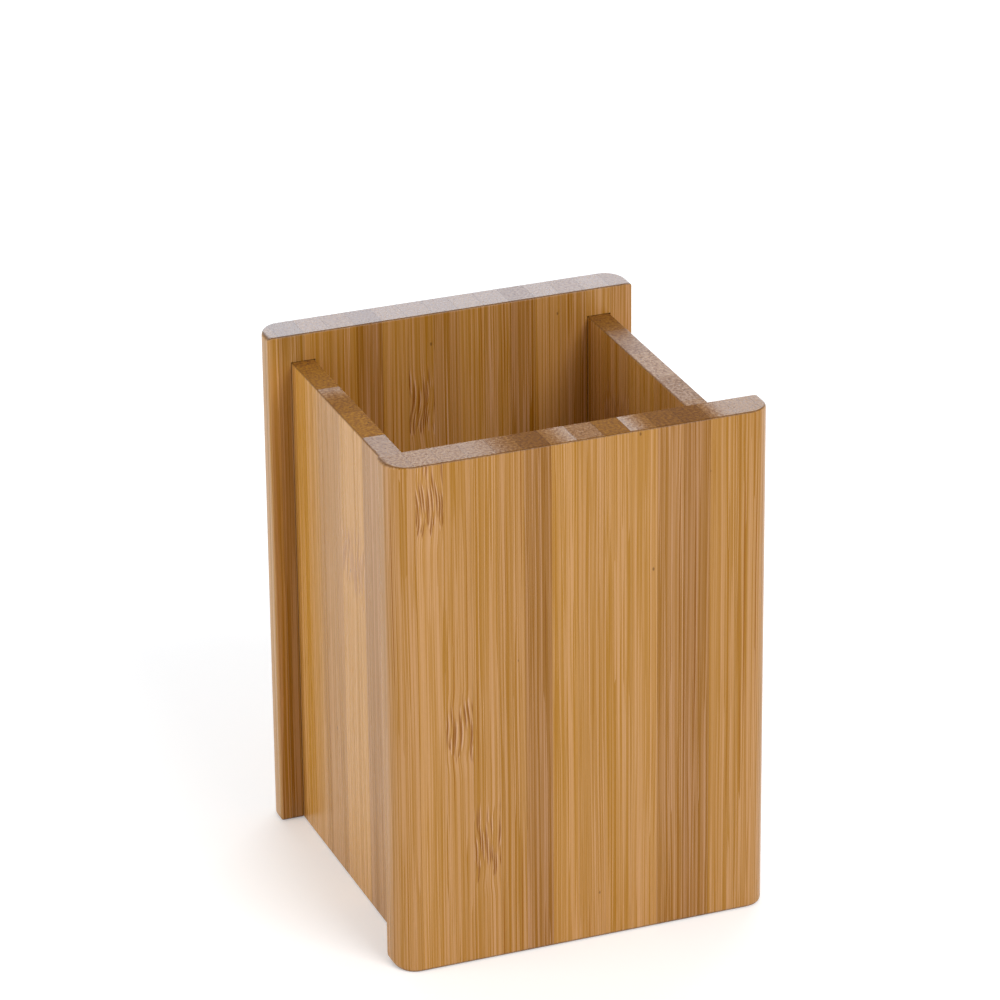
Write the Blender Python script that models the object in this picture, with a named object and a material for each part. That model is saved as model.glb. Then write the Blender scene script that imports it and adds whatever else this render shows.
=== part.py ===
"""Bamboo pen cup: two thick face panels, two thinner side panels let into them, and a base.

Every panel is glued up from bamboo strips, and each strip is its own object. Metres, +Z up.
The origin is on the table under the middle of the cup, and the front panel faces -Y.
"""
import bmesh
import bpy
from mathutils import Matrix, Vector

MM = 0.001

# Face panels, front and back
FACE_WIDTH = 80.0 * MM
FACE_HEIGHT = 110.0 * MM
FACE_THICKNESS = 8.0 * MM
CUP_DEPTH = 80.0 * MM        # from the front of the front panel to the back of the back panel
OUTER_ROUND = 5.0 * MM       # round-over of the two outer upright edges
FACE_EASE = 0.8 * MM         # sanded rims and inner upright edges

# Side panels, left and right
SIDE_THICKNESS = 5.0 * MM
SIDE_INSET = 5.0 * MM        # outer face, back from the ends of the face panels
SIDE_DROP = 6.0 * MM         # top, below the tops of the face panels
SIDE_EASE = 0.4 * MM         # sanded long edges
HOUSING_DEPTH = 2.0 * MM     # how far each end is let into a face panel

# Base
BASE_THICKNESS = 6.0 * MM
BASE_RECESS = 3.0 * MM       # underside, above the table
BASE_TONGUE = 1.5 * MM       # how far each edge is let into a wall

# Strips, and the glue that joins everything. The first and last strip of a panel are trimmed,
# and the strips between them share the rest of its width.
FACE_STRIPS = 15             # narrow strips on edge
FACE_FIRST_STRIP = 4.9 * MM
FACE_LAST_STRIP = 2.3 * MM
SIDE_STRIPS = 6              # wide strips laid flat
SIDE_FIRST_STRIP = 11.0 * MM
SIDE_LAST_STRIP = 4.0 * MM
BASE_STRIPS = 5              # wide strips laid flat
BASE_FIRST_STRIP = 12.0 * MM
BASE_LAST_STRIP = 11.2 * MM
GLUE_GAP = 0.1 * MM          # between two glued faces

ROUND_SEGMENTS = 8
EASE_SEGMENTS = 3

# Lacquered bamboo, as linear colours that the strips take in turn
STRIP_TONES = (
    (0.48, 0.25, 0.08),
    (0.56, 0.31, 0.11),
    (0.43, 0.21, 0.065),
    (0.52, 0.28, 0.095),
    (0.60, 0.35, 0.14),
)
LACQUER_ROUGHNESS = 0.38

# Places that follow from the sizes
FACE_INNER_Y = CUP_DEPTH / 2 - FACE_THICKNESS
SIDE_OUTER_X = FACE_WIDTH / 2 - SIDE_INSET
SIDE_INNER_X = SIDE_OUTER_X - SIDE_THICKNESS
SIDE_HEIGHT = FACE_HEIGHT - SIDE_DROP
SIDE_LENGTH = 2 * (FACE_INNER_Y + HOUSING_DEPTH - GLUE_GAP)
BASE_WIDTH = 2 * (SIDE_INNER_X + BASE_TONGUE - GLUE_GAP)
BASE_LENGTH = 2 * (FACE_INNER_Y + BASE_TONGUE - GLUE_GAP)
OVERCUT = 5.0 * MM           # how far a cutter runs out past the panel it cuts


def empty_scene():
    """Remove every object, and return the collections for the parts and for the cutters."""
    for old in list(bpy.data.objects):
        bpy.data.objects.remove(old)
    collections = []
    for name in ("pen_cup", "pen_cup_cutters"):
        collection = bpy.data.collections.new(name)
        bpy.context.scene.collection.children.link(collection)
        collections.append(collection)
    return collections


def box_mesh(low, high):
    """Return a bmesh box between two corners."""
    low, high = Vector(low), Vector(high)
    placed = Matrix.Translation((low + high) / 2) @ Matrix.Diagonal((*(high - low), 1.0))
    mesh = bmesh.new()
    bmesh.ops.create_cube(mesh, size=1.0, matrix=placed)
    return mesh


def edges_where(mesh, test):
    """Return the edges whose direction and middle pass the test."""
    chosen = []
    for edge in mesh.edges:
        start, end = (vert.co for vert in edge.verts)
        if test((end - start).normalized(), (start + end) / 2):
            chosen.append(edge)
    return chosen


def round_edges(mesh, edges, radius, segments):
    bmesh.ops.bevel(mesh, geom=edges, offset=radius, segments=segments, profile=0.5,
                    affect="EDGES", clamp_overlap=True)


def add_object(name, mesh, collection):
    """Turn a bmesh into a named object in a collection."""
    data = bpy.data.meshes.new(name)
    mesh.to_mesh(data)
    mesh.free()
    made = bpy.data.objects.new(name, data)
    collection.objects.link(made)
    return made


def face_panel(name, side, cutters):
    """Front (side -1) or back (side 1) panel, before it is housed and sawn into strips."""
    inner, outer = side * FACE_INNER_Y, side * CUP_DEPTH / 2
    half = FACE_WIDTH / 2
    mesh = box_mesh((-half, min(inner, outer), 0), (half, max(inner, outer), FACE_HEIGHT))
    middle_y = (inner + outer) / 2
    outer_uprights = edges_where(
        mesh, lambda along, middle: abs(along.z) > 0.9 and side * (middle.y - middle_y) > 0)
    round_edges(mesh, outer_uprights, OUTER_ROUND, ROUND_SEGMENTS)
    inner_and_rims = edges_where(
        mesh, lambda along, middle: abs(along.z) < 0.1 or abs(middle.y - inner) < FACE_EASE / 2)
    round_edges(mesh, inner_and_rims, FACE_EASE, EASE_SEGMENTS)
    return add_object(name, mesh, cutters)


def side_panel(name, side, cutters):
    """Left (side -1) or right (side 1) panel, before it is grooved and sawn into strips."""
    near, far = sorted((side * SIDE_INNER_X, side * SIDE_OUTER_X))
    mesh = box_mesh((near, -SIDE_LENGTH / 2, 0), (far, SIDE_LENGTH / 2, SIDE_HEIGHT))
    long_edges = edges_where(mesh, lambda along, middle: abs(along.y) > 0.9)
    round_edges(mesh, long_edges, SIDE_EASE, EASE_SEGMENTS)
    return add_object(name, mesh, cutters)


def base_panel(name, cutters):
    """Base board, with square edges that go into the walls."""
    mesh = box_mesh((-BASE_WIDTH / 2, -BASE_LENGTH / 2, BASE_RECESS),
                    (BASE_WIDTH / 2, BASE_LENGTH / 2, BASE_RECESS + BASE_THICKNESS))
    return add_object(name, mesh, cutters)


def housing_cutter(side, cutters):
    """Slot in both face panels for the ends of one side panel, stopped just above its top."""
    near, far = sorted((side * SIDE_INNER_X, side * SIDE_OUTER_X))
    half = FACE_INNER_Y + HOUSING_DEPTH
    mesh = box_mesh((near - GLUE_GAP, -half, -OVERCUT),
                    (far + GLUE_GAP, half, SIDE_HEIGHT + GLUE_GAP))
    return add_object("housing_cutter", mesh, cutters)


def base_groove_cutter(cutters):
    """Groove in all four walls for the edges of the base."""
    half_x = SIDE_INNER_X + BASE_TONGUE
    half_y = FACE_INNER_Y + BASE_TONGUE
    mesh = box_mesh((-half_x, -half_y, BASE_RECESS - GLUE_GAP),
                    (half_x, half_y, BASE_RECESS + BASE_THICKNESS + GLUE_GAP))
    return add_object("base_groove_cutter", mesh, cutters)


def side_groove_cutter(cutters):
    """The base's groove run out through both ends of the side panels."""
    half_x = SIDE_INNER_X + BASE_TONGUE
    half_y = SIDE_LENGTH / 2 + OVERCUT
    mesh = box_mesh((-half_x, -half_y, BASE_RECESS - GLUE_GAP),
                    (half_x, half_y, BASE_RECESS + BASE_THICKNESS + GLUE_GAP))
    return add_object("side_groove_cutter", mesh, cutters)


def cut(panel, *tools):
    for tool in tools:
        tool.hide_render = True
        tool.display_type = "WIRE"
        boolean = panel.modifiers.new(tool.name, "BOOLEAN")
        boolean.operation = "DIFFERENCE"
        boolean.solver = "EXACT"
        boolean.object = tool


def glue_lines(width, count, first, last):
    """Places where a panel centred on the axis is glued: trimmed end strips, equal ones between."""
    equal = (width - first - last) / (count - 2)
    return [first - width / 2 + step * equal for step in range(count - 1)]


def saw(mesh, axis, place, keep):
    """Saw a bmesh square to an axis and keep what lies on the keep side, 1 or -1, as a closed body."""
    normal = Vector((0, 0, 0))
    normal[axis] = 1.0
    sawn = bmesh.ops.bisect_plane(mesh, geom=[*mesh.verts, *mesh.edges, *mesh.faces], dist=1e-7,
                                  plane_co=normal * place, plane_no=normal,
                                  clear_inner=keep > 0, clear_outer=keep < 0)
    rim = [part for part in sawn["geom_cut"] if isinstance(part, bmesh.types.BMEdge)]
    bmesh.ops.holes_fill(mesh, edges=rim, sides=0)


def lacquered_bamboo(name, tone):
    material = bpy.data.materials.new(name)
    material.use_nodes = True
    shader = material.node_tree.nodes["Principled BSDF"]
    shader.inputs["Base Color"].default_value = (*tone, 1.0)
    shader.inputs["Roughness"].default_value = LACQUER_ROUGHNESS
    shader.inputs["Metallic"].default_value = 0.0
    material.diffuse_color = (*tone, 1.0)
    return material


def saw_into_strips(panel, name, axis, lines, parts):
    """Make one object of each strip of a panel, glued at the lines square to the axis."""
    whole = panel.evaluated_get(bpy.context.evaluated_depsgraph_get()).to_mesh()
    ends = [None, *lines, None]
    for count, (start, end) in enumerate(zip(ends, ends[1:]), 1):
        mesh = bmesh.new()
        mesh.from_mesh(whole)
        if start is not None:
            saw(mesh, axis, start + GLUE_GAP / 2, 1)
        if end is not None:
            saw(mesh, axis, end - GLUE_GAP / 2, -1)
        bmesh.ops.recalc_face_normals(mesh, faces=mesh.faces)
        strip = add_object(f"{name}_strip_{count:02d}", mesh, parts)
        tone = STRIP_TONES[count % len(STRIP_TONES)]
        strip.data.materials.append(lacquered_bamboo(f"bamboo_{strip.name}", tone))
    bpy.data.objects.remove(panel)


def main():
    parts, cutters = empty_scene()
    housings = [housing_cutter(side, cutters) for side in (-1, 1)]
    base_groove = base_groove_cutter(cutters)
    side_groove = side_groove_cutter(cutters)

    face_lines = glue_lines(FACE_WIDTH, FACE_STRIPS, FACE_FIRST_STRIP, FACE_LAST_STRIP)
    for name, side, lines in (("front", -1, face_lines), ("back", 1, [-line for line in face_lines])):
        panel = face_panel(name, side, cutters)
        cut(panel, *housings, base_groove)
        saw_into_strips(panel, name, 0, sorted(lines), parts)

    side_lines = glue_lines(SIDE_LENGTH, SIDE_STRIPS, SIDE_FIRST_STRIP, SIDE_LAST_STRIP)
    for name, side, lines in (("left", -1, side_lines), ("right", 1, [-line for line in side_lines])):
        panel = side_panel(name, side, cutters)
        cut(panel, side_groove)
        saw_into_strips(panel, name, 1, sorted(lines), parts)

    base_lines = glue_lines(BASE_WIDTH, BASE_STRIPS, BASE_FIRST_STRIP, BASE_LAST_STRIP)
    saw_into_strips(base_panel("base", cutters), "base", 0, base_lines, parts)


main()
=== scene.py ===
"""Looks of a bamboo pen cup: glued-up panels with lacquered grain, on a white studio floor.

Laid out as a Blender add-on and run as a script. Metres, +Z up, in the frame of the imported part.
"""
import math

import bmesh
import bpy
import numpy as np
from bpy.props import FloatProperty, FloatVectorProperty, PointerProperty
from mathutils import Matrix, Quaternion, Vector


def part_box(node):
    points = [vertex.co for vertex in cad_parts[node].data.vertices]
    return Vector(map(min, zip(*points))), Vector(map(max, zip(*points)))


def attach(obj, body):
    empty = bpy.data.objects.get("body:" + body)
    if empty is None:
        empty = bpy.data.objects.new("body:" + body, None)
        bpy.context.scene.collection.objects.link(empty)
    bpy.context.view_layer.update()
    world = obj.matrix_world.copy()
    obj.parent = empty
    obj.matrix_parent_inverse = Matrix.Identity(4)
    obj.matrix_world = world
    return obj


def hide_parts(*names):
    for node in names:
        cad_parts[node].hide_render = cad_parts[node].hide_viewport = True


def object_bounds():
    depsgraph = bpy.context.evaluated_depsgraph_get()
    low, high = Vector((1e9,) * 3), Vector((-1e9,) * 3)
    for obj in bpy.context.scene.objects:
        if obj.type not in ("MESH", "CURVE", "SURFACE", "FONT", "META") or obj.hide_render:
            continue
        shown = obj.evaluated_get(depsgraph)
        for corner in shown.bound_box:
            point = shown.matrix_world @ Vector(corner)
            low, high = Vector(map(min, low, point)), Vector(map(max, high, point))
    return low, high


bl_info = {
    "name": "Bamboo Pen Cup",
    "version": (1, 0, 0),
    "blender": (4, 5, 0),
    "location": "View3D > Sidebar > Pen Cup",
    "description": "Builds a bamboo pen cup from glued strips, with its finish and a studio stage",
    "category": "Object",
}

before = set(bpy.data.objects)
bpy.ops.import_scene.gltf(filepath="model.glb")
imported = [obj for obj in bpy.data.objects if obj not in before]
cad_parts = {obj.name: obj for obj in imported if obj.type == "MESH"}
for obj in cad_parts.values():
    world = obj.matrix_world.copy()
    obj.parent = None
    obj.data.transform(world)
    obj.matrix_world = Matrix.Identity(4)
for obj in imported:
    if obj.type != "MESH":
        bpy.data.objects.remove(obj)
CAD_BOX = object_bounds()

MM = 0.001
BODY = "root"
X, Y, Z = 0, 1, 2
NO_KNUCKLE = -1.0             # a height that no strip reaches

# One row a strip, from the low end of its panel to the high end: how dark it was steamed, how much
# darker its high edge is than its low edge, how dull its sawn ends are, and the height of its knuckle
# in millimetres, if it has one
FRONT_STRIPS = (
    (0.22, -0.10, 0.10, None), (0.03, 0.12, 0.10, 97.0), (0.12, 0.10, 0.10, 46.0),
    (0.15, -0.06, 0.12, 20.0), (0.25, 0.00, 0.42, None), (0.74, 0.16, 0.78, None),
    (-0.04, -0.08, 0.32, None), (0.09, 0.06, 0.38, None), (0.02, 0.00, 0.80, None),
    (0.02, 0.00, 0.32, None), (0.58, 0.00, 0.75, None), (0.76, -0.14, 0.80, None),
    (0.15, -0.02, 0.17, None), (0.18, -0.02, -0.20, None), (0.20, 0.00, -0.20, None),
)
BACK_STRIPS = (
    (0.12, 0.00, -0.20, None), (0.60, -0.10, -0.10, None), (0.05, 0.06, -0.10, 60.0),
    (0.15, 0.00, 0.00, None), (0.70, 0.12, 0.00, None), (0.02, -0.06, -0.20, None),
    (0.10, 0.00, -0.20, 84.0), (0.35, -0.04, -0.20, None), (0.00, 0.04, -0.20, None),
    (0.20, 0.00, -0.10, None), (0.60, -0.10, 0.10, 29.0), (0.08, 0.00, -0.10, None),
    (0.28, 0.08, 0.05, None), (0.04, -0.02, -0.20, None), (0.30, 0.00, 0.00, None),
)
LEFT_STRIPS = (
    (0.66, 0.00, 0.10, None), (0.42, 0.06, 0.05, None), (-0.52, 0.08, 0.75, 68.0),
    (0.06, -0.04, 0.60, None), (-0.50, -0.40, 0.72, None), (-0.10, 0.00, 0.85, None),
)
RIGHT_STRIPS = (
    (0.45, 0.00, 0.38, None), (0.08, -0.06, 0.31, 34.0), (0.30, 0.00, 0.23, None),
    (0.00, 0.06, 0.16, None), (0.40, -0.04, 0.16, 80.0), (0.20, 0.00, 0.48, None),
)
BASE_STRIPS = (
    (0.15, 0.00, 0.30, None), (0.40, -0.06, 0.50, None), (0.04, 0.04, 0.20, None),
    (0.30, 0.00, 0.40, None), (0.10, 0.00, 0.30, None),
)

# By a strip's number, from 0 at the low end of its panel: how strongly the whole strip is tinted a darker
# olive, as painted shade for the shaded recess beside the left panel
PAINTED_SHADE_STRIPS = {"back": {0: 0.25, 1: 0.35}}

# By a strip's number: how much duller its sawn ends are at their high edge than at their low edge
DULL_LEANS = {
    "front": {3: 0.15, 4: 0.35, 5: 0.35, 6: -0.50, 9: 0.70, 11: -0.30, 12: -0.70},
    "left": {3: -1.20},
}

# How thick the second coat of lacquer on a panel's sawn ends is; it mirrors more, and the cool tint under
# it is a painted sheen
SECOND_COATS_AND_SHEENS = {"back": 0.33, "right": 0.08}


def linear(colour):
    """Turn an sRGB hex colour into linear red, green and blue."""
    shares = [int(colour[start:start + 2], 16) / 255 for start in (0, 2, 4)]
    return [share / 12.92 if share <= 0.04045 else ((share + 0.055) / 1.055) ** 2.4 for share in shares]


class PEN_CUP_PG_shape(bpy.types.PropertyGroup):
    """How the edges of the boards are rounded, and how closely they are glued."""

    outer_round: FloatProperty(
        name="Outer Round", description="Radius of the outer upright edges of a face panel",
        default=5.0 * MM, min=0.0, unit="LENGTH")
    inner_ease: FloatProperty(
        name="Inner Ease", description="Radius of the inner upright edges of a face panel",
        default=0.5 * MM, min=0.0, unit="LENGTH")
    rim_ease: FloatProperty(
        name="Rim Ease", description="Sanded radius along the upper rims of a face panel",
        default=0.4 * MM, min=0.0, unit="LENGTH")
    foot_ease: FloatProperty(
        name="Foot Ease", description="Sanded radius along the lower rims of a face panel",
        default=0.9 * MM, min=0.0, unit="LENGTH")
    top_corner: FloatProperty(
        name="Top Corner", description="Radius of the upper corners of a face panel, seen from the front",
        default=0.9 * MM, min=0.0, unit="LENGTH")
    left_foot: FloatProperty(
        name="Left Foot", description="Radius of the front panel's lower left corner, seen from the front",
        default=1.6 * MM, min=0.0, unit="LENGTH")
    foot_corner: FloatProperty(
        name="Foot Corner", description="Radius of the other lower corners, seen from the front",
        default=0.8 * MM, min=0.0, unit="LENGTH")
    side_ease: FloatProperty(
        name="Side Ease", description="Sanded radius along the rims of a side panel and the base",
        default=0.4 * MM, min=0.0, unit="LENGTH")
    housing_gap: FloatProperty(
        name="Housing Gap", description="Clearance around a board that is let into another",
        default=0.12 * MM, min=0.0, unit="LENGTH")
    glue_gap: FloatProperty(
        name="Glue Gap", description="Glue line between two strips",
        default=0.02 * MM, min=0.0, unit="LENGTH")


class PEN_CUP_PG_finish(bpy.types.PropertyGroup):
    """Colours of the bamboo from its darkest fibres to its palest, and its lacquer."""

    amber: FloatVectorProperty(
        name="Amber", description="Darkest fibres", subtype="COLOR", min=0.0, max=1.0,
        default=linear("9F640A"))
    caramel: FloatVectorProperty(
        name="Caramel", description="Dark fibres", subtype="COLOR", min=0.0, max=1.0,
        default=linear("AE7821"))
    honey: FloatVectorProperty(
        name="Honey", description="Ground between the fibres", subtype="COLOR", min=0.0, max=1.0,
        default=linear("BD8947"))
    straw: FloatVectorProperty(
        name="Straw", description="Pale fibres", subtype="COLOR", min=0.0, max=1.0,
        default=linear("CD9B67"))
    cream: FloatVectorProperty(
        name="Cream", description="Palest fibres", subtype="COLOR", min=0.0, max=1.0,
        default=linear("DBAD85"))
    knuckle: FloatVectorProperty(
        name="Knuckle", description="Strokes where the fibres break at a knuckle", subtype="COLOR",
        min=0.0, max=1.0, default=linear("8E5400"))
    steamed: FloatVectorProperty(
        name="Steamed", description="Tint over a strip that was steamed darkest", subtype="COLOR",
        min=0.0, max=1.0, default=linear("D3C8BF"))
    # Painted shade: an olive tint over whole strips, so that the shaded recess beside the left panel looks
    # olive
    green: FloatVectorProperty(
        name="Green", description="Tint over a strip from the green outside of the cane", subtype="COLOR",
        min=0.0, max=1.0, default=linear("F1FEEB"))
    end_grain: FloatVectorProperty(
        name="End Grain", description="Ground between the fibre ends on a sawn end", subtype="COLOR",
        min=0.0, max=1.0, default=linear("794B1C"))
    end_fibre: FloatVectorProperty(
        name="End Fibre", description="Fibre ends on a sawn end", subtype="COLOR",
        min=0.0, max=1.0, default=linear("553416"))
    # Painted sheen: a cool tint on the sawn ends under the second coat, standing in for the cool cast of
    # mirrored light
    second_coat_and_cool_sheen: FloatVectorProperty(
        name="Second Coat", description="Cool cast of a second coat of lacquer", subtype="COLOR",
        min=0.0, max=1.0, default=linear("D0E1FF"))
    lacquer_roughness: FloatProperty(
        name="Lacquer Roughness", description="Roughness of the satin lacquer", subtype="FACTOR",
        default=0.24, min=0.0, max=1.0)


class PEN_CUP_PG_stage(bpy.types.PropertyGroup):
    """Floor, light and camera."""

    floor_size: FloatProperty(
        name="Floor Size", description="Side of the square floor", default=8.0, min=1.0, unit="LENGTH")
    floor_colour: FloatVectorProperty(
        name="Floor Colour", description="Pale studio floor", subtype="COLOR", min=0.0, max=1.0,
        default=linear("F6F6F6"))
    floor_lift: FloatProperty(
        name="Floor Lift", description="White added to the floor where it is seen or mirrored",
        default=0.30, min=0.0)
    fill: FloatProperty(
        name="Fill", description="Strength of the white room as light on the cup", default=0.47, min=0.0)
    key_power: FloatProperty(
        name="Key Power", description="Softbox above and to the front", default=14.9, min=0.0,
        unit="POWER")
    side_power: FloatProperty(
        name="Side Power", description="Softbox to the left", default=6.1, min=0.0, unit="POWER")
    back_power: FloatProperty(
        name="Back Power", description="Broad softbox behind, which the tops mirror", default=12.9,
        min=0.0, unit="POWER")
    back_colour: FloatVectorProperty(
        name="Back Colour", description="Cool white of the softbox behind", subtype="COLOR", min=0.0,
        max=1.0, default=linear("EDF6FF"))
    camera_place: FloatVectorProperty(
        name="Camera Place", description="Where the camera stands", subtype="XYZ", unit="LENGTH",
        default=(-0.3464, -0.8906, 0.5072))
    camera_target: FloatVectorProperty(
        name="Camera Target", description="Point in the middle of the picture", subtype="XYZ",
        unit="LENGTH", default=(-0.0073, -0.0130, 0.0873))
    camera_roll: FloatProperty(
        name="Camera Roll", description="Tilt of the picture", subtype="ANGLE",
        default=math.radians(-0.6))
    camera_lens: FloatProperty(
        name="Camera Lens", description="Focal length in millimetres", default=186.5, min=1.0)


MIX_A, MIX_B, MIXED = 6, 7, 2  # colour sockets of a Mix node


def add_node(tree, kind, inputs=None, **settings):
    """Add a node with its settings, and a value or a link for each of the named inputs."""
    made = tree.nodes.new(kind)
    for key, value in settings.items():
        setattr(made, key, value)
    for key, value in (inputs or {}).items():
        if isinstance(value, bpy.types.NodeSocket):
            tree.links.new(value, made.inputs[key])
        else:
            made.inputs[key].default_value = value
    return made


def strips_of(panel):
    """Names of a panel's strips in the frame, in order."""
    names = sorted(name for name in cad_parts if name.startswith(panel + "_strip_"))
    if not names:
        raise RuntimeError(f"the frame has no strips for the panel {panel}")
    return names


def box_of(panel):
    """Lowest and highest corner of a panel in the frame."""
    lows, highs = zip(*(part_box(name) for name in strips_of(panel)))
    return Vector(map(min, *lows)), Vector(map(max, *highs))


def glue_lines(panel, axis):
    """Places along an axis where a panel's strips in the frame are glued."""
    boxes = [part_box(name) for name in strips_of(panel)]
    return [(one[1][axis] + other[0][axis]) / 2 for one, other in zip(boxes, boxes[1:])]


def link(name, mesh):
    """Make a named object of a mesh."""
    made = bpy.data.objects.new(name, mesh)
    bpy.context.scene.collection.objects.link(made)
    return made


def link_shape(name, shape):
    """Make a named object of a bmesh, and free that."""
    mesh = bpy.data.meshes.new(name)
    shape.to_mesh(mesh)
    shape.free()
    return link(name, mesh)


def box_object(name, low, high):
    """A plain box, for cutting."""
    mesh = bmesh.new()
    placed = Matrix.Translation((low + high) / 2) @ Matrix.Diagonal((*(high - low), 1.0))
    bmesh.ops.create_cube(mesh, size=1.0, matrix=placed)
    return link_shape(name, mesh)


RUN_OUT = 5.0 * MM            # how far a cut runs out past the board it is in
ARC_STEPS = 14                # in a rounded upright edge
RIM_STEPS = 6                 # in a sanded rim
LEAST_RADIUS = 0.02 * MM      # of an edge that is left square
MERGE_DISTANCE = LEAST_RADIUS / 10
ARRIS_ANGLE = math.radians(30.0)  # fold at which an edge is shaded sharp
SLAB_REACH = 4                # size of the slabs that saw a board, in diagonals of the cup
FLAT_WEIGHT = 100             # how much the flats of a board pull the normals beside them


def quarter(radius, height):
    """How far a rounded rim stands back at a height from its flat."""
    if height >= radius:
        return 0.0
    return radius - math.sqrt(radius ** 2 - (radius - height) ** 2)


def rim_heights(radii, steps):
    """Heights from the flat at which rims of these radii are shaped."""
    arcs = [radius * (1 - math.cos(math.pi / 2 * step / steps))
            for radius in radii if radius > 0 for step in range(1, steps + 1)]
    return {0.0, *arcs}


def plan_outline(low, high, radii, inset):
    """Points round a board seen from above, with its four upright edges rounded.

    radii gives the edges from the one at high x and high y, anticlockwise. inset says how far the
    outline stands back at low x, at high x, and at both low and high y.
    """
    points = []
    corners = ((1, 1), (-1, 1), (-1, -1), (1, -1))
    for turn, (side, radius) in enumerate(zip(corners, radii)):
        inset_x = inset[1] if side[X] > 0 else inset[0]
        curve = max(radius - inset_x - inset[2], inset_x, LEAST_RADIUS)
        centre_x = (high.x - inset_x - curve) if side[X] > 0 else (low.x + inset_x + curve)
        centre_y = (high.y - inset[2] - curve) if side[Y] > 0 else (low.y + inset[2] + curve)
        for step in range(ARC_STEPS + 1):
            angle = math.pi / 2 * (turn + step / ARC_STEPS)
            points.append((centre_x + curve * math.cos(angle), centre_y + curve * math.sin(angle)))
    return points


def board(name, low, high, radii, foot, top):
    """Loft a board through its outline at every height where its rims change.

    foot and top give the radius of those rims at low x, at high x, and at both low and high y.
    """
    foot_heights = {low.z + height for height in rim_heights(foot, RIM_STEPS)}
    top_heights = {high.z - height for height in rim_heights(top, RIM_STEPS)}
    mesh = bmesh.new()
    rings = []
    for height in sorted(foot_heights | top_heights):
        inset = [max(quarter(foot_radius, height - low.z), quarter(top_radius, high.z - height))
                 for foot_radius, top_radius in zip(foot, top)]
        rings.append([mesh.verts.new((x, y, height)) for x, y in plan_outline(low, high, radii, inset)])
    for lower, upper in zip(rings, rings[1:]):
        for here in range(len(lower)):
            following = (here + 1) % len(lower)
            mesh.faces.new((lower[here], lower[following], upper[following], upper[here]))
    mesh.faces.new(reversed(rings[0]))
    mesh.faces.new(rings[-1])
    bmesh.ops.remove_doubles(mesh, verts=mesh.verts, dist=MERGE_DISTANCE)
    return link_shape(name, mesh)


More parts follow.
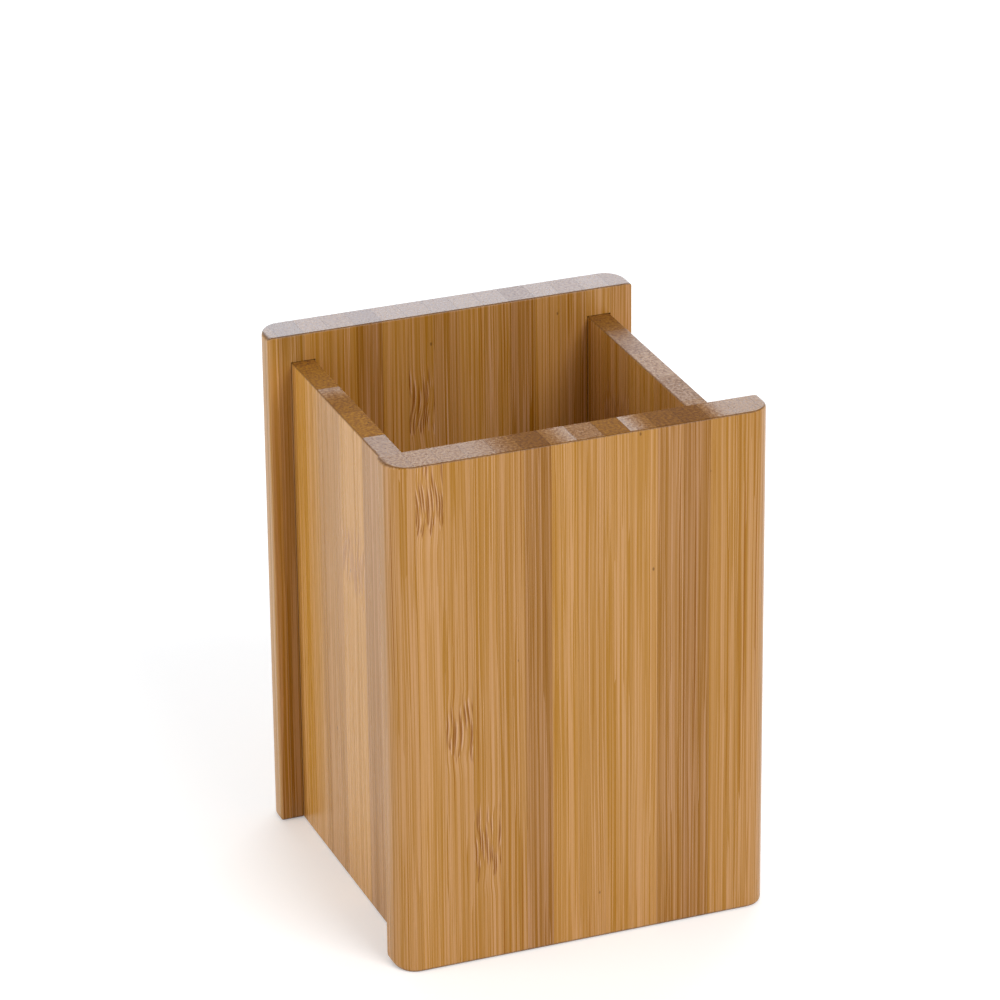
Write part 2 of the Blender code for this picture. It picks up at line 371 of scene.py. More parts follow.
def glue_up_tree():
    """Geometry nodes that saw a board into strips along an axis and number them."""
    tree = bpy.data.node_groups.new("glue_up", "GeometryNodeTree")
    tree.is_modifier = True
    sockets = (
        ("Board", "NodeSocketGeometry"), ("Across", "NodeSocketVector"),
        ("First Line", "NodeSocketFloat"), ("Strip Width", "NodeSocketFloat"),
        ("Strips", "NodeSocketInt"), ("Glue Gap", "NodeSocketFloat"),
        ("Reach", "NodeSocketFloat"), ("Finish", "NodeSocketMaterial"),
    )
    for name, kind in sockets:
        tree.interface.new_socket(name=name, in_out="INPUT", socket_type=kind)
    tree.interface.new_socket(name="Strips", in_out="OUTPUT", socket_type="NodeSocketGeometry")
    given = add_node(tree, "NodeGroupInput").outputs

    # Slabs as wide as a strip, the first of them half a width before the first glue line
    first_middle = add_node(tree, "ShaderNodeMath", {
        0: given["Strip Width"], 1: -0.5, 2: given["First Line"]}, operation="MULTIPLY_ADD")
    start = add_node(tree, "ShaderNodeVectorMath", {
        0: given["Across"], "Scale": first_middle.outputs[0]}, operation="SCALE")
    step = add_node(tree, "ShaderNodeVectorMath", {
        0: given["Across"], "Scale": given["Strip Width"]}, operation="SCALE")
    middles = add_node(tree, "GeometryNodeMeshLine", {
        "Count": given["Strips"], "Start Location": start.outputs[0], "Offset": step.outputs[0]})
    thickness = add_node(tree, "ShaderNodeMath", {
        0: given["Strip Width"], 1: given["Glue Gap"]}, operation="SUBTRACT")
    shortfall = add_node(tree, "ShaderNodeMath", {
        0: thickness.outputs[0], 1: given["Reach"]}, operation="SUBTRACT")
    slab_size = add_node(tree, "ShaderNodeVectorMath", {
        0: given["Across"], 1: shortfall.outputs[0], 2: given["Reach"]}, operation="MULTIPLY_ADD")
    slab = add_node(tree, "GeometryNodeMeshCube", {"Size": slab_size.outputs[0]})
    row = add_node(tree, "GeometryNodeInstanceOnPoints", {
        "Points": middles.outputs[0], "Instance": slab.outputs[0]})
    slabs = add_node(tree, "GeometryNodeRealizeInstances", {0: row.outputs[0]})
    sawn = add_node(tree, "GeometryNodeMeshBoolean", {"Mesh 2": slabs.outputs[0]},
                    operation="INTERSECT", solver="EXACT")
    tree.links.new(given["Board"], sawn.inputs["Mesh 2"])

    # The number of each point's strip, and how far across that strip the point is
    position = add_node(tree, "GeometryNodeInputPosition")
    place = add_node(tree, "ShaderNodeVectorMath", {
        0: position.outputs[0], 1: given["Across"]}, operation="DOT_PRODUCT")
    past_first = add_node(tree, "ShaderNodeMath", {
        0: place.outputs["Value"], 1: given["First Line"]}, operation="SUBTRACT")
    widths = add_node(tree, "ShaderNodeMath", {
        0: past_first.outputs[0], 1: given["Strip Width"]}, operation="DIVIDE")
    whole = add_node(tree, "ShaderNodeMath", {0: widths.outputs[0]}, operation="FLOOR")
    number = add_node(tree, "ShaderNodeMath", {0: whole.outputs[0], 1: 1.0}, operation="ADD")
    share = add_node(tree, "ShaderNodeMath", {
        0: widths.outputs[0], 1: whole.outputs[0]}, operation="SUBTRACT")
    numbered = add_node(tree, "GeometryNodeStoreNamedAttribute", {
        "Geometry": sawn.outputs["Mesh"], "Name": "strip", "Value": number.outputs[0]},
        data_type="FLOAT", domain="POINT")
    measured = add_node(tree, "GeometryNodeStoreNamedAttribute", {
        "Geometry": numbered.outputs[0], "Name": "across", "Value": share.outputs[0]},
        data_type="FLOAT", domain="POINT")
    fold = add_node(tree, "GeometryNodeInputMeshEdgeAngle")
    arris = add_node(tree, "ShaderNodeMath", {
        0: fold.outputs["Unsigned Angle"], 1: ARRIS_ANGLE}, operation="GREATER_THAN")
    creased = add_node(tree, "GeometryNodeSetShadeSmooth", {
        "Geometry": measured.outputs[0], "Selection": arris.outputs[0], "Shade Smooth": False},
        domain="EDGE")
    real = add_node(tree, "GeometryNodeRealizeInstances", {0: creased.outputs[0]})
    finished = add_node(tree, "GeometryNodeSetMaterial", {
        "Geometry": real.outputs[0], "Material": given["Finish"]})
    add_node(tree, "NodeGroupOutput", {0: finished.outputs[0]})
    return tree


def cut(work, *tools):
    """Let other boards into a board."""
    for tool in tools:
        boolean = work.modifiers.new(tool.name, "BOOLEAN")
        boolean.operation = "DIFFERENCE"
        boolean.solver = "EXACT"
        boolean.object = tool


def glue_up(work, panel, axis, rows, material):
    """Saw a board into the frame's strips, number and tone them, and let it stand for them."""
    shape = bpy.context.scene.pen_cup_shape
    lines = glue_lines(panel, axis)
    names = strips_of(panel)
    across = [0.0, 0.0, 0.0]
    across[axis] = 1.0
    modifier = work.modifiers.new("glue_up", "NODES")
    modifier.node_group = bpy.data.node_groups.get("glue_up") or glue_up_tree()
    values = {
        "Across": across, "First Line": lines[0], "Strip Width": lines[1] - lines[0],
        "Strips": len(names), "Glue Gap": shape.glue_gap,
        "Reach": SLAB_REACH * (CAD_BOX[1] - CAD_BOX[0]).length, "Finish": material,
    }
    for socket in modifier.node_group.interface.items_tree:
        if socket.in_out == "INPUT" and socket.name in values:
            modifier[socket.identifier] = values[socket.name]
    flats = work.modifiers.new("flats", "WEIGHTED_NORMAL")
    flats.weight = FLAT_WEIGHT
    flats.keep_sharp = True
    work.data.shade_smooth()

    mesh = bpy.data.meshes.new_from_object(work.evaluated_get(bpy.context.evaluated_depsgraph_get()))
    mesh.name = f"{panel}_panel"
    bpy.data.objects.remove(work)
    numbers = np.empty(len(mesh.vertices))
    mesh.attributes["strip"].data.foreach_get("value", numbers)
    picked = np.rint(numbers).astype(int)
    if sorted(set(picked)) != list(range(len(rows))):
        raise RuntimeError(f"the board {panel} was not sawn into {len(rows)} strips")
    looks = {
        "steamed": [row[0] for row in rows],
        "lean": [row[1] for row in rows],
        "dull": [row[2] for row in rows],
        "knuckle": [NO_KNUCKLE if row[3] is None else row[3] * MM for row in rows],
        "green": [PAINTED_SHADE_STRIPS.get(panel, {}).get(count, 0.0) for count in range(len(rows))],
        "dull_lean": [DULL_LEANS.get(panel, {}).get(count, 0.0) for count in range(len(rows))],
        "second_coat_and_cool_sheen": [SECOND_COATS_AND_SHEENS.get(panel, 0.0)] * len(rows),
    }
    for name, by_strip in looks.items():
        mesh.attributes.new(name, "FLOAT", "POINT").data.foreach_set("value", np.take(by_strip, picked))
    piece = link(mesh.name, mesh)
    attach(piece, BODY)
    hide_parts(*names)


# Lay of the grain, in millimetres
STRIP_SHIFT = 53.0            # through the cane, from one strip to the next
WANDER = 0.8                  # how far the fibres wander to the side
SWAY = 2.6                    # how far they sway at a knuckle
RAGGED = 12.0                 # how unlike in height their broken ends are at a knuckle
STROKE_PITCH = 0.55           # between the strokes at a knuckle
STROKE_LENGTH = 10.0          # of the cell that holds one stroke
SPECK_SPACING = 9.0           # between pin specks
SPECK_RADIUS = 0.32           # of a pin speck
JOINT_WIDTH = 0.20            # of the shade beside a glued joint on a sawn end
JOINT_CORE = 0.05             # of it that has its full depth
RELIEF = 0.04                 # of the furrows and pits in the lacquer

# Heights from a knuckle in millimetres: its marks start at the outer two, and are at their full
# strength between the inner two
SWAY_HEIGHTS = (16.0, 8.0, 0.0, -6.0)
STROKE_HEIGHTS = (15.0, 10.0, 0.8, -0.2)
BAND_HEIGHTS = (0.6, -0.6, -2.0, -6.0)

# Repeats in a millimetre across the strip, through the board and along the grain
RAGGED_REPEATS = (1.1, 1.1, 0.05)
WANDER_REPEATS = (0.05, 0.05, 0.016)
SWAY_REPEATS = (0.12, 0.12, 0.09)
STIPPLE_SCALE = 1.7           # on a sawn end, the same every way

# Repeats of the streaks in a fibre pitch
BAND_SCALE = 0.18
SOFT_SCALE = 0.80
HAIR_SCALE = 2.60
BUNDLE_SCALE = 0.95
DASH_SCALE = 0.70

# How the marks are drawn out: the less of the third axis they keep, the longer they are along the grain
GRAIN_STRETCH = (1.0, 1.0, 0.0045)
DASH_STRETCH = (1.0, 1.0, 0.09)
SPECK_STRETCH = (1.0, 1.0, 0.6)

# Finer layers in the noises
PLAIN_DETAIL = 1.0
BAND_DETAIL = 1.5
SWAY_DETAIL = 0.6
STIPPLE_DETAIL = 2.0
STIPPLE_ROUGHNESS = 0.6       # how strong its finer layers are

# Distance from the middle of its cell at which a mark starts, and at which it is full, in cells
THREAD_FADE = (0.26, 0.12)
DASH_FADE = (0.24, 0.12)
STROKE_FADE = (0.52, 0.12)
EDGE_FADE = (0.40, 0.20)
EDGE_OFFSET = 0.42            # from a stroke to the middle of its pale edge, in cells
STROKE_SLANT = 0.3            # of the strokes through the board
STROKE_SCATTER = 0.8          # how unevenly they stand
SPECK_CORE = 0.5              # share of a pin speck's radius that has its full depth

# Random draw for a fibre at which it starts to show, and at which it shows most
DARK_DRAW = (0.35, 0.95)
PALE_DRAW = (0.70, 0.95)

# How much the streaks lighten the ground, and the middles at which they change nothing
BAND_WEIGHT = 0.12
SOFT_WEIGHT = 0.22
HAIR_WEIGHT = 0.52
EDGE_WEIGHT = 0.70
KNUCKLE_WEIGHT = 0.05
MIDDLE = 0.5                  # of a noise, a random draw, a strip and the palette
DARK_MIDDLE = 0.10            # of dark fibres
PALE_MIDDLE = 0.05            # of pale fibres
DASH_MIDDLE = 0.05            # of dashes
PALE_CONTRAST = 0.95          # of the streaks on a strip that was hardly steamed
STEAMED_CONTRAST = 1.60       # of the streaks on a strip that was steamed darkest

# How far a mark covers the colour under it
STROKE_COVER = 0.90
SPECK_COVER = 0.6
SPECKLE_COVER = 0.62
JOINT_COVER = 0.30

# How far a face turns towards the ends of the fibres, from 0 for a side to 1 for a sawn end:
# where a look starts, and where it is full
SAWN_TURN = (0.55, 0.90)
RIM_OVER_SIDE = (0.20, 0.55)
RIM_UNDER_END = (0.96, 0.80)

# Sawn ends, by the level of their stipple
SPECKLE_LEVELS = (0.36, 0.64)  # between which the ground turns from dark to caramel
STIPPLE_SHARE = 0.5           # of the stipple that shows in the lacquer
DULL_SHARE = 0.6              # how far a dull end sinks into the stipple
WET_LEVEL = 0.56              # above which the lacquer lies wet and smooth
DRY_LEVEL = 0.05              # below which the fibres soaked it up
DRY_ROUGHNESS = 0.62          # added where they did

# Lacquer
LACQUER_IOR = 1.32
COAT_ROUGHNESS = 0.20         # of a second coat
SATIN_SPREAD = 0.08           # of the roughness from streak to streak
BUMP_STRENGTH = 0.35
STROKE_HEIGHT = -0.4          # of a stroke against the hair lines
STIPPLE_HEIGHT = 1.6          # of the stipple on a sawn end
PIT_HEIGHT = -3.0             # of a fibre's pit on a sawn end


def fibre_place(tree, axes):
    """Place in millimetres, plain and turned so that the grain runs along the third axis.

    The turned place is shifted through the cane from strip to strip, so that no two have the same grain.
    """
    place = add_node(tree, "ShaderNodeTexCoord").outputs["Object"]
    in_mm = add_node(tree, "ShaderNodeVectorMath", {0: place, "Scale": 1 / MM}, operation="SCALE")
    split = add_node(tree, "ShaderNodeSeparateXYZ", {0: in_mm.outputs[0]}).outputs
    strip = add_node(tree, "ShaderNodeAttribute", attribute_name="strip").outputs["Fac"]
    shifted = add_node(tree, "ShaderNodeMath", {
        0: strip, 1: STRIP_SHIFT, 2: split[axes[1]]}, operation="MULTIPLY_ADD")
    fibre = add_node(tree, "ShaderNodeCombineXYZ", {
        0: split[axes[0]], 1: shifted.outputs[0], 2: split[axes[2]]})
    return in_mm.outputs[0], fibre.outputs[0]


def knuckle_masks(tree, fibre):
    """Where the fibres sway, break into strokes, and lie pale and smooth at their strip's knuckle."""
    knuckle = add_node(tree, "ShaderNodeAttribute", attribute_name="knuckle").outputs["Fac"]
    along = add_node(tree, "ShaderNodeSeparateXYZ", {0: fibre}).outputs[2]
    rise = add_node(tree, "ShaderNodeMath", {0: knuckle, 1: -1 / MM, 2: along}, operation="MULTIPLY_ADD")
    ends = add_node(tree, "ShaderNodeVectorMath", {0: fibre, 1: RAGGED_REPEATS}, operation="MULTIPLY")
    ragged = add_node(tree, "ShaderNodeTexNoise", {
        "Vector": ends.outputs[0], "Scale": 1.0, "Detail": PLAIN_DETAIL})
    uneven = add_node(tree, "ShaderNodeMath", {0: ragged.outputs[0], 1: MIDDLE}, operation="SUBTRACT")
    above = add_node(tree, "ShaderNodeMath", {
        0: uneven.outputs[0], 1: RAGGED, 2: rise.outputs[0]}, operation="MULTIPLY_ADD")
    masks = []
    for height, (top, full_top, full_foot, foot) in (
            (rise, SWAY_HEIGHTS), (above, STROKE_HEIGHTS), (above, BAND_HEIGHTS)):
        below_top, over_foot = (
            add_node(tree, "ShaderNodeMapRange", {
                "Value": height.outputs[0], "From Min": start, "From Max": full},
                interpolation_type="SMOOTHSTEP").outputs[0]
            for start, full in ((top, full_top), (foot, full_foot)))
        both = add_node(tree, "ShaderNodeMath", {0: below_top, 1: over_foot}, operation="MULTIPLY")
        masks.append(both.outputs[0])
    return masks


def bent_place(tree, fibre, swaying):
    """The fibre's own place, where it wanders slowly along the strip and sways at a knuckle."""
    slow = add_node(tree, "ShaderNodeVectorMath", {0: fibre, 1: WANDER_REPEATS}, operation="MULTIPLY")
    wander = add_node(tree, "ShaderNodeTexNoise", {
        "Vector": slow.outputs[0], "Scale": 1.0, "Detail": PLAIN_DETAIL})
    drift = add_node(tree, "ShaderNodeVectorMath", {
        0: wander.outputs["Color"], 1: (MIDDLE, MIDDLE, MIDDLE)}, operation="SUBTRACT")
    drifted = add_node(tree, "ShaderNodeVectorMath", {
        0: drift.outputs[0], 1: (WANDER, WANDER, 0.0), 2: fibre}, operation="MULTIPLY_ADD")
    eddies = add_node(tree, "ShaderNodeVectorMath", {0: fibre, 1: SWAY_REPEATS}, operation="MULTIPLY")
    swirl = add_node(tree, "ShaderNodeTexNoise", {
        "Vector": eddies.outputs[0], "Scale": 1.0, "Detail": SWAY_DETAIL})
    turned = add_node(tree, "ShaderNodeVectorMath", {
        0: swirl.outputs["Color"], 1: (MIDDLE, MIDDLE, MIDDLE)}, operation="SUBTRACT")
    pulled = add_node(tree, "ShaderNodeVectorMath", {
        0: turned.outputs[0], 1: (SWAY, 0.0, 0.0)}, operation="MULTIPLY")
    bent = add_node(tree, "ShaderNodeVectorMath", {
        0: pulled.outputs[0], 1: swaying, 2: drifted.outputs[0]}, operation="MULTIPLY_ADD")
    return bent.outputs[0]


def streaks(tree, bent, fibre_pitch):
    """Broad bands, soft streaks, hair lines, single dark or pale fibres, and slanting dashes.

    Real hair lines are too fine to show, so these are drawn coarser.
    """
    grain = add_node(tree, "ShaderNodeVectorMath", {0: bent, 1: GRAIN_STRETCH}, operation="MULTIPLY")
    bands = add_node(tree, "ShaderNodeTexNoise", {
        "Vector": grain.outputs[0], "Scale": BAND_SCALE / fibre_pitch, "Detail": BAND_DETAIL})
    soft = add_node(tree, "ShaderNodeTexNoise", {
        "Vector": grain.outputs[0], "Scale": SOFT_SCALE / fibre_pitch, "Detail": PLAIN_DETAIL})
    fibres = add_node(tree, "ShaderNodeTexVoronoi", {
        "Vector": grain.outputs[0], "Scale": HAIR_SCALE / fibre_pitch}, feature="F1")
    hairs = add_node(tree, "ShaderNodeSeparateColor", {0: fibres.outputs["Color"]})
    bundles = add_node(tree, "ShaderNodeTexVoronoi", {
        "Vector": grain.outputs[0], "Scale": BUNDLE_SCALE / fibre_pitch}, feature="F1")
    thread = add_node(tree, "ShaderNodeMapRange", {
        "Value": bundles.outputs["Distance"], "From Min": THREAD_FADE[0], "From Max": THREAD_FADE[1]},
        interpolation_type="SMOOTHSTEP")
    pick = add_node(tree, "ShaderNodeSeparateColor", {0: bundles.outputs["Color"]})
    single = []
    for draw, (start, full) in zip(pick.outputs, (DARK_DRAW, PALE_DRAW)):
        picked = add_node(tree, "ShaderNodeMapRange", {"Value": draw, "From Min": start, "From Max": full})
        shown = add_node(tree, "ShaderNodeMath", {
            0: thread.outputs[0], 1: picked.outputs[0]}, operation="MULTIPLY")
        single.append(shown.outputs[0])
    slanted = add_node(tree, "ShaderNodeVectorMath", {0: bent, 1: DASH_STRETCH}, operation="MULTIPLY")
    cut_fibres = add_node(tree, "ShaderNodeTexVoronoi", {
        "Vector": slanted.outputs[0], "Scale": DASH_SCALE / fibre_pitch}, feature="F1")
    dash = add_node(tree, "ShaderNodeMapRange", {
        "Value": cut_fibres.outputs["Distance"], "From Min": DASH_FADE[0], "From Max": DASH_FADE[1]},
        interpolation_type="SMOOTHSTEP")
    return {
        "bands": bands.outputs[0], "soft": soft.outputs[0], "hairs": hairs.outputs[0],
        "dark_line": single[0], "pale_line": single[1], "dash": dash.outputs[0],
    }


def knuckle_strokes(tree, bent, mask):
    """Dark strokes where the fibres break at a knuckle, and the pale edge beside each."""
    sides = add_node(tree, "ShaderNodeSeparateXYZ", {0: bent})
    slanting = add_node(tree, "ShaderNodeMath", {
        0: sides.outputs[1], 1: STROKE_SLANT, 2: sides.outputs[0]}, operation="MULTIPLY_ADD")
    laid_flat = add_node(tree, "ShaderNodeCombineXYZ", {0: slanting.outputs[0], 1: sides.outputs[2]})
    breaks = add_node(tree, "ShaderNodeVectorMath", {
        0: laid_flat.outputs[0], 1: (1 / STROKE_PITCH, 1 / STROKE_LENGTH, 0.0)}, operation="MULTIPLY")
    broken = add_node(tree, "ShaderNodeTexVoronoi", {
        "Vector": breaks.outputs[0], "Scale": 1.0, "Randomness": STROKE_SCATTER},
        feature="F1", voronoi_dimensions="2D")
    off_stroke = add_node(tree, "ShaderNodeVectorMath", {
        0: breaks.outputs[0], 1: broken.outputs["Position"]}, operation="SUBTRACT")
    beside = add_node(tree, "ShaderNodeVectorMath", {
        0: off_stroke.outputs[0], 1: (-EDGE_OFFSET, 0.0, 0.0)}, operation="ADD")
    edge_distance = add_node(tree, "ShaderNodeVectorMath", {0: beside.outputs[0]}, operation="LENGTH")
    marks = []
    for distance, (start, full) in (
            (broken.outputs["Distance"], STROKE_FADE), (edge_distance.outputs["Value"], EDGE_FADE)):
        line = add_node(tree, "ShaderNodeMapRange", {
            "Value": distance, "From Min": start, "From Max": full}, interpolation_type="SMOOTHSTEP")
        mark = add_node(tree, "ShaderNodeMath", {0: line.outputs[0], 1: mask}, operation="MULTIPLY")
        marks.append(mark.outputs[0])
    return marks


def side_grain(tree, paleness, stroke, fibre):
    """Colour along the fibres: the palette, the strokes at a knuckle, and sparse pin specks."""
    finish = bpy.context.scene.pen_cup_finish
    palette = add_node(tree, "ShaderNodeValToRGB", {0: paleness})
    colours = (finish.amber, finish.caramel, finish.honey, finish.straw, finish.cream)
    stops = palette.color_ramp.elements
    while len(stops) < len(colours):
        stops.new(MIDDLE)
    for count, colour in enumerate(colours):
        stops[count].position = count / (len(colours) - 1)
        stops[count].color = (*colour, 1.0)
    torn = add_node(tree, "ShaderNodeMath", {0: stroke, 1: STROKE_COVER}, operation="MULTIPLY")
    stroked = add_node(tree, "ShaderNodeMix", {
        0: torn.outputs[0], MIX_A: palette.outputs[0], MIX_B: (*finish.knuckle, 1.0)}, data_type="RGBA")
    sparse = add_node(tree, "ShaderNodeVectorMath", {0: fibre, 1: SPECK_STRETCH}, operation="MULTIPLY")
    pins = add_node(tree, "ShaderNodeTexVoronoi", {
        "Vector": sparse.outputs[0], "Scale": 1 / SPECK_SPACING}, feature="F1")
    speck = add_node(tree, "ShaderNodeMapRange", {
        "Value": pins.outputs["Distance"], "From Min": SPECK_RADIUS / SPECK_SPACING,
        "From Max": SPECK_CORE * SPECK_RADIUS / SPECK_SPACING, "To Max": SPECK_COVER},
        interpolation_type="SMOOTHSTEP")
    specked = add_node(tree, "ShaderNodeMix", {
        0: speck.outputs[0], MIX_A: stroked.outputs[MIXED], MIX_B: (*finish.end_fibre, 1.0)},
        data_type="RGBA")
    return specked.outputs[MIXED]


def end_grain(tree, stipple, dark_line, off_middle, strip_width):
    """Colour of a sawn end: dark dots in a stippled ground, and a dark line at each joint."""
    finish = bpy.context.scene.pen_cup_finish
    speckled = add_node(tree, "ShaderNodeMapRange", {
        "Value": stipple, "From Min": SPECKLE_LEVELS[0], "From Max": SPECKLE_LEVELS[1],
        "To Max": SPECKLE_COVER})
    ground = add_node(tree, "ShaderNodeMix", {
        0: speckled.outputs[0], MIX_A: (*finish.end_grain, 1.0), MIX_B: (*finish.caramel, 1.0)},
        data_type="RGBA")
    joint = add_node(tree, "ShaderNodeMapRange", {
        "Value": off_middle, "From Min": MIDDLE - JOINT_WIDTH / strip_width,
        "From Max": MIDDLE - JOINT_CORE / strip_width, "To Max": JOINT_COVER},
        interpolation_type="SMOOTHSTEP")
    darkened = add_node(tree, "ShaderNodeMath", {0: joint.outputs[0], 1: dark_line}, operation="MAXIMUM")
    pitted = add_node(tree, "ShaderNodeMix", {
        0: darkened.outputs[0], MIX_A: ground.outputs[MIXED], MIX_B: (*finish.end_fibre, 1.0)},
        data_type="RGBA")
    return pitted.outputs[MIXED]


def lacquered_bamboo(name, axes, strip_width, fibre_pitch, ground_tone, line_depth, dash_depth):
    """Laminated bamboo, steamed to a honey brown, planed, sanded and finished in satin lacquer.

    Long parallel fibres give fine pale and dark streaks along the grain and dots on a sawn end.
    At a knuckle they sway and break into short dark strokes, with a smooth pale band below.
    The lacquer mirrors bright things at a low angle, except where a sawn end soaked it up. A second coat
    on some sawn ends mirrors more, and the cool tint under it is a painted sheen.
    axes are the object's axes across the strips, through the board and along the grain. strip_width and
    fibre_pitch are in millimetres. ground_tone is how pale the ground between the fibres is, from 0 for
    amber to 1 for cream. line_depth and dash_depth say how dark single fibres and dashes are against it.
    """
    finish = bpy.context.scene.pen_cup_finish
    material = bpy.data.materials.new(name)
    material.use_nodes = True
    tree = material.node_tree
    shader = tree.nodes["Principled BSDF"]

    in_mm, fibre = fibre_place(tree, axes)
    swaying, breaking, banded = knuckle_masks(tree, fibre)
    bent = bent_place(tree, fibre, swaying)
    lines = streaks(tree, bent, fibre_pitch)
    stroke, stroke_edge = knuckle_strokes(tree, bent, breaking)

    # How pale the fibres are, from 0 for amber to 1 for cream
    shade = add_node(tree, "ShaderNodeMath", {0: banded, 1: KNUCKLE_WEIGHT}, operation="MULTIPLY")
    terms = (
        (lines["bands"], BAND_WEIGHT, MIDDLE),
        (lines["soft"], SOFT_WEIGHT, MIDDLE),
        (lines["hairs"], HAIR_WEIGHT, MIDDLE),
        (lines["dark_line"], -line_depth, DARK_MIDDLE),
        (lines["pale_line"], line_depth, PALE_MIDDLE),
        (lines["dash"], -dash_depth, DASH_MIDDLE),
        (stroke_edge, EDGE_WEIGHT, 0.0),
    )
    for value, weight, middle in terms:
        spread = add_node(tree, "ShaderNodeMath", {0: value, 1: middle}, operation="SUBTRACT")
        shade = add_node(tree, "ShaderNodeMath", {
            0: spread.outputs[0], 1: weight, 2: shade.outputs[0]}, operation="MULTIPLY_ADD")
    by_strip = {look: add_node(tree, "ShaderNodeAttribute", attribute_name=look).outputs["Fac"]
                for look in ("across", "steamed", "lean", "green", "dull", "dull_lean", "second_coat_and_cool_sheen")}
    contrast = add_node(tree, "ShaderNodeMapRange", {
        "Value": by_strip["steamed"], "To Min": PALE_CONTRAST, "To Max": STEAMED_CONTRAST})
    paleness = add_node(tree, "ShaderNodeMath", {
        0: shade.outputs[0], 1: contrast.outputs[0], 2: ground_tone}, operation="MULTIPLY_ADD")

    # Sawn ends
    normal = add_node(tree, "ShaderNodeNewGeometry").outputs["Normal"]
    facing = add_node(tree, "ShaderNodeSeparateXYZ", {0: normal}).outputs[axes[2]]
    upright = add_node(tree, "ShaderNodeMath", {0: facing}, operation="ABSOLUTE")
    sawn, over_side, under_end = (
        add_node(tree, "ShaderNodeMapRange", {
            "Value": upright.outputs[0], "From Min": start, "From Max": full},
            interpolation_type="SMOOTHSTEP").outputs[0]
        for start, full in (SAWN_TURN, RIM_OVER_SIDE, RIM_UNDER_END))
    stipple = add_node(tree, "ShaderNodeTexNoise", {
        "Vector": in_mm, "Scale": STIPPLE_SCALE, "Detail": STIPPLE_DETAIL,
        "Roughness": STIPPLE_ROUGHNESS})
    centred = add_node(tree, "ShaderNodeMath", {
        0: by_strip["across"], 1: MIDDLE}, operation="SUBTRACT")
    off_middle = add_node(tree, "ShaderNodeMath", {0: centred.outputs[0]}, operation="ABSOLUTE")
    ends = end_grain(tree, stipple.outputs[0], lines["dark_line"], off_middle.outputs[0], strip_width)
    plain = add_node(tree, "ShaderNodeMix", {
        0: sawn, MIX_A: side_grain(tree, paleness.outputs[0], stroke, fibre), MIX_B: ends},
        data_type="RGBA")

    # Strips are steamed to different depths, and some are darker at one edge
    depth = add_node(tree, "ShaderNodeMath", {
        0: centred.outputs[0], 1: by_strip["lean"], 2: by_strip["steamed"]}, operation="MULTIPLY_ADD")
    darkened = add_node(tree, "ShaderNodeMix", {
        0: depth.outputs[0], MIX_A: plain.outputs[MIXED], MIX_B: (*finish.steamed, 1.0)},
        data_type="RGBA", blend_type="MULTIPLY", clamp_factor=False)
    # Painted shade: the back panel's first strips are tinted a darker olive, for the shaded recess beside
    # the left panel
    toned = add_node(tree, "ShaderNodeMix", {
        0: by_strip["green"], MIX_A: darkened.outputs[MIXED], MIX_B: (*finish.green, 1.0)},
        data_type="RGBA", blend_type="MULTIPLY")

    # Darker rims, partly wear where sanding cut across the fibres, and partly painted shade for the dim
    # reflection of a rounded rim
    rim = add_node(tree, "ShaderNodeMath", {0: over_side, 1: under_end}, operation="MULTIPLY")
    rim_wear_and_shade = add_node(tree, "ShaderNodeMath", {
        0: rim.outputs[0], 1: stipple.outputs[0]}, operation="MULTIPLY")
    colour = add_node(tree, "ShaderNodeMix", {
        0: rim_wear_and_shade.outputs[0], MIX_A: toned.outputs[MIXED], MIX_B: (*finish.end_fibre, 1.0)},
        data_type="RGBA")
    tree.links.new(colour.outputs[MIXED], shader.inputs["Base Color"])

    # Satin lacquer, dry where the open fibres of a sawn end soaked it up
    dulled = add_node(tree, "ShaderNodeMath", {
        0: centred.outputs[0], 1: by_strip["dull_lean"], 2: by_strip["dull"]}, operation="MULTIPLY_ADD")
    softened = add_node(tree, "ShaderNodeMath", {
        0: stipple.outputs[0], 1: STIPPLE_SHARE, 2: MIDDLE * (1 - STIPPLE_SHARE)},
        operation="MULTIPLY_ADD")
    level = add_node(tree, "ShaderNodeMath", {
        0: dulled.outputs[0], 1: -DULL_SHARE, 2: softened.outputs[0]}, operation="MULTIPLY_ADD")
    dry = add_node(tree, "ShaderNodeMapRange", {
        "Value": level.outputs[0], "From Min": WET_LEVEL, "From Max": DRY_LEVEL,
        "To Max": DRY_ROUGHNESS}, interpolation_type="SMOOTHSTEP")
    satin = add_node(tree, "ShaderNodeMath", {
        0: lines["soft"], 1: SATIN_SPREAD, 2: finish.lacquer_roughness}, operation="MULTIPLY_ADD")
    gloss = add_node(tree, "ShaderNodeMath", {
        0: dry.outputs[0], 1: sawn, 2: satin.outputs[0]}, operation="MULTIPLY_ADD")
    tree.links.new(gloss.outputs[0], shader.inputs["Roughness"])
    shader.inputs["IOR"].default_value = LACQUER_IOR
    coat = add_node(tree, "ShaderNodeMath", {0: by_strip["second_coat_and_cool_sheen"], 1: sawn}, operation="MULTIPLY")
    tree.links.new(coat.outputs[0], shader.inputs["Coat Weight"])
    shader.inputs["Coat Roughness"].default_value = COAT_ROUGHNESS
